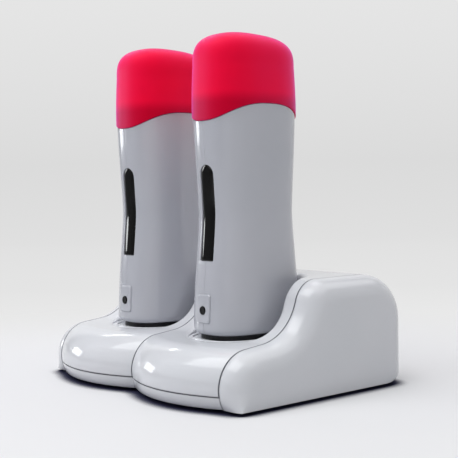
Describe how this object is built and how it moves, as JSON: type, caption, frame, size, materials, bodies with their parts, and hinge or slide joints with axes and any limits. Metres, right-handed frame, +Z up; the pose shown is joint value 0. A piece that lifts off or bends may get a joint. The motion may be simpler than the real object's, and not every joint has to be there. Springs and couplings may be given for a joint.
{
  "type": "double wax warmer",
  "caption": "Upright cartridge wax warmers with pull-off caps, level windows and push buttons, standing in the cradles of a twin-module charging base with a stepped rear block.",
  "frame": {"origin": "on the table, under the middle of the base (centre of the bounding box, at its bottom)", "axes": "+Z up along the warmers, +X along the row of two modules, -Y towards the front with the level windows and buttons, +Y towards the rear block and the mains inlet"},
  "size_m": [0.2, 0.158, 0.2233],
  "materials": {
    "base_white": "warm white, high gloss",
    "body_pearl": "pale pearl grey, high gloss",
    "cap_red": "crimson, soft satin, brighter at the edges",
    "window_black": "black, high gloss",
    "button_black": "black, satin",
    "black_plastic": "black, fine matte",
    "rubber": "matte",
    "collar_grey": "light grey, matte",
    "screw_steel": "zinc plated",
    "brass": "plain",
    "well_aluminium": "drawn, satin",
    "heater_plate": "insulating film",
    "circuit_board": "green lacquer",
    "wire_red": "insulated wire",
    "wire_blue": "insulated wire"
  },
  "bodies": {
    "base": {"left_cheek": "base_white", "right_cheek": "base_white", "left_deck": "base_white", "right_deck": "base_white", "left_tray": "base_white", "right_tray": "base_white", "rubber_feet": "rubber", "base_screws": "screw_steel", "tie_screws": "screw_steel", "mains_inlet": "black_plastic", "inlet_pins": "brass", "junction_board": "circuit_board", "base_wiring": "wire_blue", "left_dock_block": "black_plastic", "right_dock_block": "black_plastic", "left_dock_pins": "brass", "right_dock_pins": "brass"},
    "left_warmer": {"left_inner_shell": "body_pearl", "left_outer_shell": "body_pearl", "left_foot": "black_plastic", "left_foot_screws": "screw_steel", "left_sleeves": "brass", "left_collar": "collar_grey", "left_well": "well_aluminium", "left_heater": "heater_plate", "left_thermostat": "screw_steel", "left_leads": "wire_red", "left_window": "window_black", "left_switch_pad": "body_pearl", "left_switch_board": "circuit_board"},
    "left_button": {"left_button": "button_black"},
    "left_cap": {"left_cap": "cap_red"},
    "right_warmer": {"right_inner_shell": "body_pearl", "right_outer_shell": "body_pearl", "right_foot": "black_plastic", "right_foot_screws": "screw_steel", "right_sleeves": "brass", "right_collar": "collar_grey", "right_well": "well_aluminium", "right_heater": "heater_plate", "right_thermostat": "screw_steel", "right_leads": "wire_red", "right_window": "window_black", "right_switch_pad": "body_pearl", "right_switch_board": "circuit_board"},
    "right_button": {"right_button": "button_black"},
    "right_cap": {"right_cap": "cap_red"}
  },
  "joints": [
    {"name": "left_warmer_lift", "type": "slide", "parent": "base", "child": "left_warmer", "axis": [0, 0, 1], "range_m": [0, 0.06]},
    {"name": "left_cap_lift", "type": "slide", "parent": "left_warmer", "child": "left_cap", "axis": [0, 0, 1], "range_m": [0, 0.06]},
    {"name": "left_button_press", "type": "slide", "parent": "left_warmer", "child": "left_button", "axis": [0, 1, 0], "range_m": [0, 0.001], "stiffness_N_per_m": 400},
    {"name": "right_warmer_lift", "type": "slide", "parent": "base", "child": "right_warmer", "axis": [0, 0, 1], "range_m": [0, 0.06]},
    {"name": "right_cap_lift", "type": "slide", "parent": "right_warmer", "child": "right_cap", "axis": [0, 0, 1], "range_m": [0, 0.06]},
    {"name": "right_button_press", "type": "slide", "parent": "right_warmer", "child": "right_button", "axis": [0, 1, 0], "range_m": [0, 0.001], "stiffness_N_per_m": 400}
  ]
}
